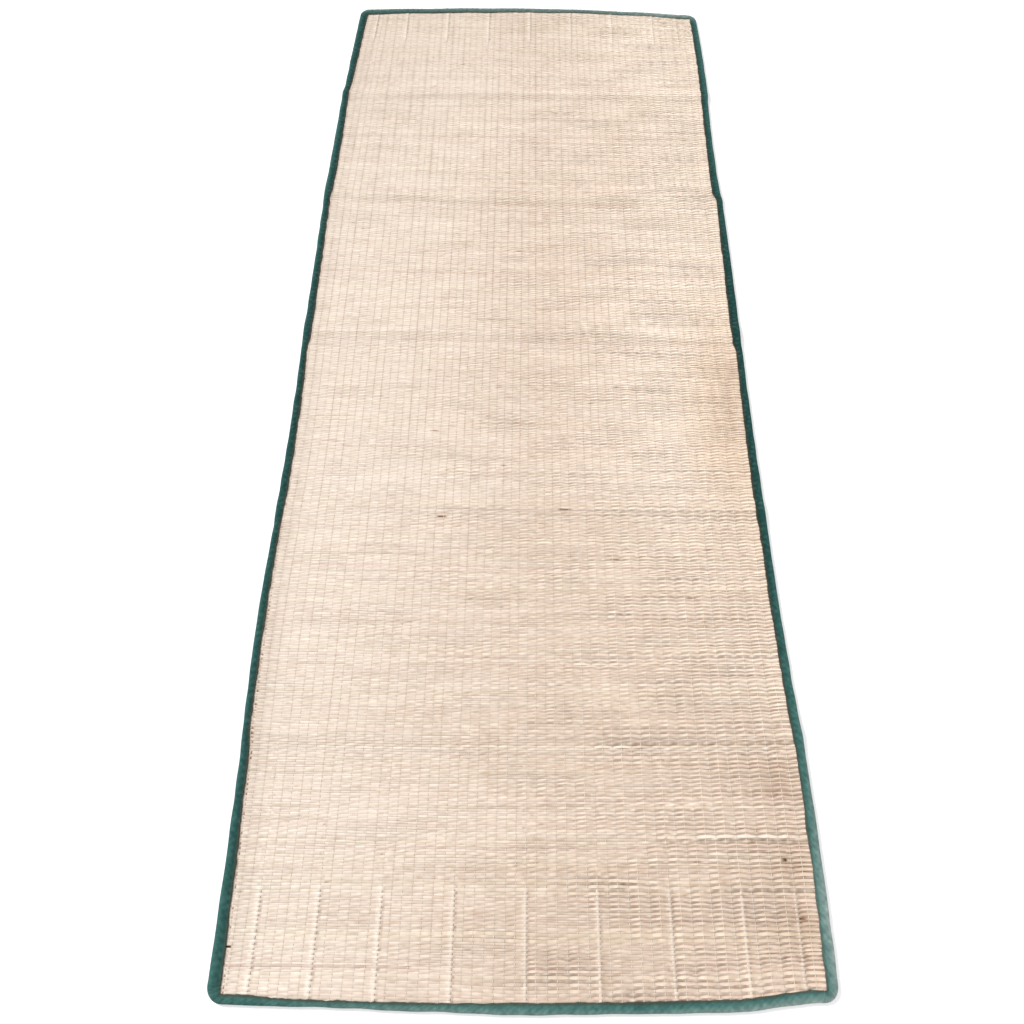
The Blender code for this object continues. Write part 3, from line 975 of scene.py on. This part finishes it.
def cotton_material():
    material, tree, shader = plain_material("cotton cord", 0.85)
    colour = ramp_node(tree, channels_of(tree, "cord")[0], [
        (0.0, (0.60, 0.49, 0.40)), (0.5, (0.86, 0.76, 0.66)),
        (1.0, (0.95, 0.87, 0.79)),
    ])
    place = node_of(tree, "ShaderNodeTexCoord")
    twist = texture_node(tree, "Wave", place.outputs["Object"], Scale=260.0, Distortion=1.5)
    ply = ramp_node(tree, twist, [(0.0, (0.86, 0.84, 0.80)), (1.0, (1.0, 1.0, 1.0))])
    colour = tinted(tree, colour, 1.0, ply)
    finish_surface(tree, shader, colour, twist, 0.5, 0.0002)
    return material


cotton = cotton_material()
for name, numbers in (("warp_near", (0, 1, 2)), ("warp_far", (3, 4, 5))):
    piece = warp_part(name, numbers)
    piece.data.materials.append(cotton)
    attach(piece, "root")


# The ribs. In the last 133 mm at the near end and 110 mm at the far end every sixth or
# seventh warp cord is a thick soft one, which the reeds climb over.
RIB_HALF_WIDTH, RIB_HALF_HEIGHT = 2.0, 0.36


def rib_part(name, number, long):
    rows = Rows(number)
    pitch = (panel_line(number + 1, 0.0) - panel_line(number, 0.0)) / rows.count
    count = round(long / pitch)
    first = 0 if number == 0 else rows.count - count
    ribs = ribs_of(number)
    piece = strands(name, 2 * count, 6, len(ribs), along_x=False, turned=0.0)
    points = points_of(piece)
    rib, step = whole(points[:, 0], len(ribs)), whole(points[:, 1], 2 * count)
    across, high = (points[:, 0] - rib) / STRAND_HALF, points[:, 2] / STRAND_HALF
    cord = np.array(ribs)[rib]
    reed, second = first + step // 2, step % 2
    y, width = rows.place(cord_x(cord), reed)
    y = y + np.where(second, 0.25, -0.25) * width
    x = pull_in(cord_x(cord), y)
    buried = (cord + rows.first + reed) % 2 == 0
    fade = ease((y - y.min()) / 5.0) * ease((y.max() - y) / 5.0)
    slim = 0.55 + 0.45 * fade
    swing = REED_SWING * looseness(x, y)
    over_it = swing + RIB_CLIMB - REED_HALF - RIB_HALF_HEIGHT
    under_it = -swing + RIB_CLIMB + REED_HALF + 0.4 * RIB_HALF_HEIGHT
    middle = mat_height(x, y) + np.where(buried, over_it, under_it) - 0.4 * (1 - fade)
    place = np.stack([
        x + across * RIB_HALF_WIDTH * slim, y, middle + high * RIB_HALF_HEIGHT * slim], axis=1)
    set_points(piece, place)
    shade = np.random.default_rng(450 + number).uniform(0.28, 0.40, len(ribs))[rib]
    paint(piece, "cord", (shade, 0 * shade, 0 * shade))
    return piece


for name, number, long in (("ribs_near", 0, RIB_NEAR), ("ribs_far", len(PANELS) - 1, RIB_FAR)):
    piece = rib_part(name, number, long)
    piece.data.materials.append(cotton)
    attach(piece, "root")

for number, piece in enumerate(reed_pieces):
    long = (panel_line(number + 1, 0.0) - panel_line(number, 0.0)) * MM


# The binding. One strip of green cotton tape is folded over the cut edge of the weave and
# sewn down by machine all the way round. It is puffed up by the edge inside it, it puckers
# between the stitches, and it turns each corner in one piece.
TAPE_STEP = 4.2
PUCKER_STEP = 9.5

creases = drift(21, 10, 9.0, 13.0)
flutter = drift(22, 8, 60.0, 60.0)


def tape_line():
    """The outer edge of the tape, clockwise from the near left corner: points, ways in, widths."""
    points, ways, widths = [], [], []

    def corner_centre(side, end):
        y = float(end_edge(end, np.array([side * WIDTH / 2]))[0]) - end * CORNER_RADIUS
        x = float(side_edge(side, y)) - side * CORNER_RADIUS
        y = float(end_edge(end, np.array([x]))[0]) - end * CORNER_RADIUS
        return x, y

    def add(x, y, way_x, way_y, width):
        points.append(np.stack([x, y], axis=1))
        ways.append(np.stack([way_x, way_y], axis=1))
        widths.append(width)

    def add_side(side, y_from, y_to):
        y = np.linspace(y_from, y_to, round(abs(y_to - y_from) / TAPE_STEP))[1:-1]
        add(side_edge(side, y), y, np.full_like(y, -side), 0 * y, side_tape(side, y))

    def add_end(end, x_from, x_to):
        x = np.linspace(x_from, x_to, round(abs(x_to - x_from) / TAPE_STEP))[1:-1]
        add(x, end_edge(end, x), 0 * x, np.full_like(x, -end), end_tape(end, x))

    def add_corner(side, end, start_angle):
        x, y = corner_centre(side, end)
        across = CORNER_RADIUS - float(side_tape(side, y))
        along = CORNER_RADIUS - float(end_tape(end, np.array([x]))[0])
        angle = start_angle - np.linspace(0, 1, 15) * pi / 2
        out_x, out_y = np.cos(angle), np.sin(angle)
        to_side, to_end = np.maximum(np.abs(out_x), 0.01), np.maximum(np.abs(out_y), 0.01)
        width = CORNER_RADIUS - np.minimum(across / to_side, along / to_end)
        add(x + out_x * CORNER_RADIUS, y + out_y * CORNER_RADIUS, -out_x, -out_y, width)

    corners = {(s, e): corner_centre(s, e) for s in (-1, 1) for e in (-1, 1)}
    add_side(-1, corners[-1, -1][1], corners[-1, 1][1])
    add_corner(-1, 1, pi)
    add_end(1, corners[-1, 1][0], corners[1, 1][0])
    add_corner(1, 1, pi / 2)
    add_side(1, corners[1, 1][1], corners[1, -1][1])
    add_corner(1, -1, 0.0)
    add_end(-1, corners[1, -1][0], corners[-1, -1][0])
    add_corner(-1, -1, -pi / 2)
    return np.concatenate(points), np.concatenate(ways), np.concatenate(widths)


# The folded tape in section. Each row is a share of the width inwards, a fixed distance
# inwards in mm, and a height in mm over the underside.
TAPE_SECTION = [
    (1.00, -0.2, 0.25), (0.50, 0.0, 0.0), (0.00, 1.5, 0.25),
    (0.00, 0.45, 0.9), (0.00, 0.0, 1.9), (0.00, 0.0, 2.9),
    (0.00, 0.5, 3.75), (0.00, 1.5, 4.4), (0.30, 0.8, 4.85),
    (0.55, 0.0, 4.65), (0.72, 0.0, 4.4), (0.80, 0.0, 4.0),
    (0.88, 0.0, 4.2), (0.96, 0.0, 4.1), (1.00, 0.0, 3.75),
    (1.00, -0.1, 3.4), (0.50, 0.0, 3.5), (0.00, 2.2, 3.45),
    (0.00, 1.9, 2.3), (0.00, 2.2, 1.0), (1.00, -0.2, 0.75),
]

# Cloth above this height is the part of the tape that shows, and it is this far round the
# folded section, both in mm
SECTION_TOP = 3.3
ROUND_SECTION = 62.0


def binding_tape():
    points, ways, widths = tape_line()
    count, sides = len(points), len(TAPE_SECTION)
    bm = bmesh.new()
    bmesh.ops.create_grid(bm, x_segments=count, y_segments=sides, size=0.5)
    piece = piece_from(bm, "binding_tape")
    mesh = piece.data
    grid = points_of(piece)
    station = np.rint((grid[:, 0] + 0.5) * count).astype(int) % count
    corner = np.rint((grid[:, 1] + 0.5) * sides).astype(int) % sides
    section = np.array(TAPE_SECTION)[corner]
    inwards = section[:, 0] * widths[station] + section[:, 1]
    edge = points[station]
    place = edge + ways[station] * inwards[:, None]
    steps = np.linalg.norm(np.diff(points, axis=0, append=points[:1]), axis=1)
    along = np.concatenate([[0.0], np.cumsum(steps)])[station]
    risen = ease((section[:, 2] - SECTION_TOP) / 0.8)
    wave = 2 * pi * (along / PUCKER_STEP + 0.05 * inwards) + 2.5 * flutter(along, 0 * along)
    wrinkle = np.sin(wave) * (0.6 + 0.4 * flutter(2 * along, 30 + 0 * along))
    puff = risen * (0.28 * wrinkle + 0.22 * creases(inwards * 0.8, along))
    bulge = 0.7 * flutter(along, 0 * along) + 0.5 * creases(along * 0.35, 0 * along)
    bulge += np.random.default_rng(23).normal(0, 0.35, count)[station]
    inner_edge = (section[:, 0] > 0.9) & (section[:, 2] >= 0.3)
    place += ways[station] * (0.7 * inner_edge * bulge)[:, None]
    outer = np.clip(1 - inwards / 3.0, 0, 1) * 0.35 * (1 + flutter(along * 1.4, 40 + 0 * along))
    place += ways[station] * outer[:, None]
    height = section[:, 2] + puff + fold_lift(edge[:, 0], edge[:, 1])
    set_points(piece, np.column_stack([place, height]))

    layer = mesh.uv_layers.new(name="cloth")
    loops = np.empty(len(mesh.loops), np.int32)
    mesh.loops.foreach_get("vertex_index", loops)
    u = (grid[:, 0] + 0.5) * steps.sum() * MM
    v = (grid[:, 1] + 0.5) * ROUND_SECTION * MM
    layer.data.foreach_set("uv", np.stack([u, v], axis=1)[loops].astype(np.float32).ravel())
    on_top = section[:, 2] > SECTION_TOP
    paint_tape(piece, on_top, inwards, widths[station] - inwards, wrinkle)
    bm = bmesh.new()
    bm.from_mesh(mesh)
    bmesh.ops.remove_doubles(bm, verts=bm.verts, dist=0.000002)
    bmesh.ops.recalc_face_normals(bm, faces=bm.faces)
    bm.to_mesh(mesh)
    bm.free()
    return piece


# How pale the tape is, from 0 to 1, from wear and a painted sheen that grows to its outer edge: each
# row is a place along that side in mm, and the paleness there at the inner and the outer edge of the
# tape
LEFT_WEAR_AND_SHEEN = [
    (-900, 0.24, 0.45), (-750, 0.16, 0.38), (-450, 0.14, 0.36), (-150, 0.06, 0.27),
    (150, 0.03, 0.36), (500, 0.03, 0.48), (900, 0.04, 0.36),
]
RIGHT_WEAR_AND_SHEEN = [
    (-915, 0.46, 1.0), (-800, 0.62, 1.0), (-650, 0.30, 0.77), (-500, 0.08, 0.60),
    (-300, 0.0, 0.35), (150, 0.0, 0.22), (500, 0.0, 0.52), (900, 0.08, 0.65),
]
NEAR_WEAR_AND_SHEEN = [
    (-350, 0.38, 0.42), (-150, 0.40, 0.84), (0, 0.40, 0.80), (150, 0.22, 0.80),
    (250, 0.34, 0.94), (350, 0.40, 1.0),
]
FAR_WEAR_AND_SHEEN = [
    (-350, 0.42, 0.85), (-150, 0.46, 0.95), (0, 0.62, 1.0), (150, 0.62, 1.0),
    (300, 0.85, 1.0),
]


def wear_and_sheen_along(table, place, outwards):
    spots, inner, outer = zip(*table)
    start, end = np.interp(place, spots, inner), np.interp(place, spots, outer)
    return start + (end - start) * outwards ** 1.4


def paint_tape(piece, on_top, inwards, beside, wrinkle):
    """Paleness from wear and painted sheen, painted highlight on the puckers, soil and painted shade
    inside.
    """
    spot = points_of(piece) / MM
    x, y = spot[:, 0], spot[:, 1]
    outwards = np.clip(1 - inwards / (inwards + np.maximum(beside, 0.0) + 0.01), 0, 1)
    left, right_side = wear_and_sheen_along(LEFT_WEAR_AND_SHEEN, y, outwards), wear_and_sheen_along(RIGHT_WEAR_AND_SHEEN, y, outwards)
    near, far = wear_and_sheen_along(NEAR_WEAR_AND_SHEEN, x, outwards), wear_and_sheen_along(FAR_WEAR_AND_SHEEN, x, outwards)
    # fade is the paleness of wear together with a painted sheen, most at the outer edge
    fade = np.where(x < 0, left, right_side)
    fade += (near - fade) * ease((-y - 870) / 30.0) + (far - fade) * ease((y - 870) / 30.0)
    # Painted highlight on the crests of the puckers
    pucker_highlight = np.clip(0.30 * wrinkle * on_top, 0, 1)
    # Soil and painted shade along the inner edge, and a little over the whole far tape
    soil_and_shade = 0.7 * on_top * ease(1 - beside / 4.5) * ease((1 - fade) / 0.6)
    soil_and_shade = np.maximum(soil_and_shade, 0.25 * ease((y - 870) / 30.0))
    paint(piece, "wear_and_sheen", (np.clip(fade, 0, 1), pucker_highlight, soil_and_shade))


def tape_material():
    material, tree, shader = plain_material("green cotton tape", 0.9)
    shader.inputs["Specular IOR Level"].default_value = 0.08
    fade, pucker_highlight, soil_and_shade = channels_of(tree, "wear_and_sheen")
    # Paleness from wear and painted sheen
    colour = ramp_node(tree, fade, [
        (0.0, (0.0035, 0.028, 0.0255)), (0.2, (0.018, 0.074, 0.067)),
        (0.5, (0.060, 0.160, 0.146)), (0.8, (0.200, 0.295, 0.275)),
        (1.0, (0.410, 0.480, 0.465)),
    ])
    place = node_of(tree, "ShaderNodeTexCoord")
    mottle = texture_node(tree, "Noise", place.outputs["Object"], Scale=160.0, Detail=5.0)
    worn = ramp_node(tree, mottle, [(0.30, (0.62, 0.66, 0.66)), (0.70, (1.40, 1.34, 1.32))])
    colour = tinted(tree, colour, 0.8, worn)
    cloth = place.outputs["UV"]
    # Painted light and shade of small puckers in the cloth
    pucker = texture_node(tree, "Wave", cloth, Scale=75.0, Distortion=4.0, Detail_Scale=60.0)
    folded = ramp_node(tree, pucker, [(0.1, (0.78, 0.80, 0.80)), (0.9, (1.25, 1.2, 1.2))])
    colour = tinted(tree, colour, 0.4, folded)
    # Painted highlight on the pucker crests
    colour = tinted(tree, colour, pucker_highlight, (0.130, 0.250, 0.230, 1.0), "MIX")
    # Soil and painted shade at the inner edge
    colour = tinted(tree, colour, soil_and_shade, (0.085, 0.070, 0.048, 1.0), "MIX")
    weave = texture_node(tree, "Wave", cloth, Scale=320.0, Distortion=0.6)
    threads = ramp_node(tree, weave, [(0.0, (0.8, 0.8, 0.8)), (1.0, (1.1, 1.1, 1.1))])
    colour = tinted(tree, colour, 0.4, threads)
    finish_surface(tree, shader, colour, weave, 0.5, 0.0002)
    return material


tape = binding_tape()
tape.data.materials.append(tape_material())
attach(tape, "root")
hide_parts("binding")


# The floor is a plain pale surface that runs out of sight on every side.
FLOOR_REACH = 12.0


def floor_material():
    material, tree, shader = plain_material("pale floor", 0.9)
    place = node_of(tree, "ShaderNodeTexCoord")
    clouds = texture_node(tree, "Noise", place.outputs["Object"], Scale=3.0)
    colour = ramp_node(tree, clouds, [(0.3, (0.93, 0.93, 0.93)), (0.7, (0.95, 0.95, 0.95))])
    tree.links.new(colour, shader.inputs["Base Color"])
    shader.inputs["Emission Color"].default_value = (1.0, 1.0, 1.0, 1.0)
    shader.inputs["Emission Strength"].default_value = 0.25
    return material


bm = bmesh.new()
bmesh.ops.create_grid(bm, x_segments=1, y_segments=1, size=FLOOR_REACH)
floor = piece_from(bm, "floor")
floor.data.materials.append(floor_material())

# Soft studio light: one large lamp beyond the far left corner, low enough to show the
# relief of the weave, and a bright even surround.
SURROUND_STRENGTH = 0.67
LAMP_FROM = Vector((-0.70, 0.52, 0.48))
LAMP_STRENGTH, LAMP_SPREAD = 3.06, radians(14.0)

world = bpy.data.worlds.new("studio")
world.use_nodes = True
surround = world.node_tree.nodes["Background"]
surround.inputs["Color"].default_value = (1.0, 1.0, 1.0, 1.0)
surround.inputs["Strength"].default_value = SURROUND_STRENGTH
scene.world = world
lamp = bpy.data.lights.new("key", "SUN")
lamp.energy = LAMP_STRENGTH
lamp.angle = LAMP_SPREAD
key = bpy.data.objects.new("key", lamp)
key.rotation_euler = (-LAMP_FROM).to_track_quat("-Z", "Y").to_euler()
scene.collection.objects.link(key)
scene.view_settings.view_transform = "Standard"
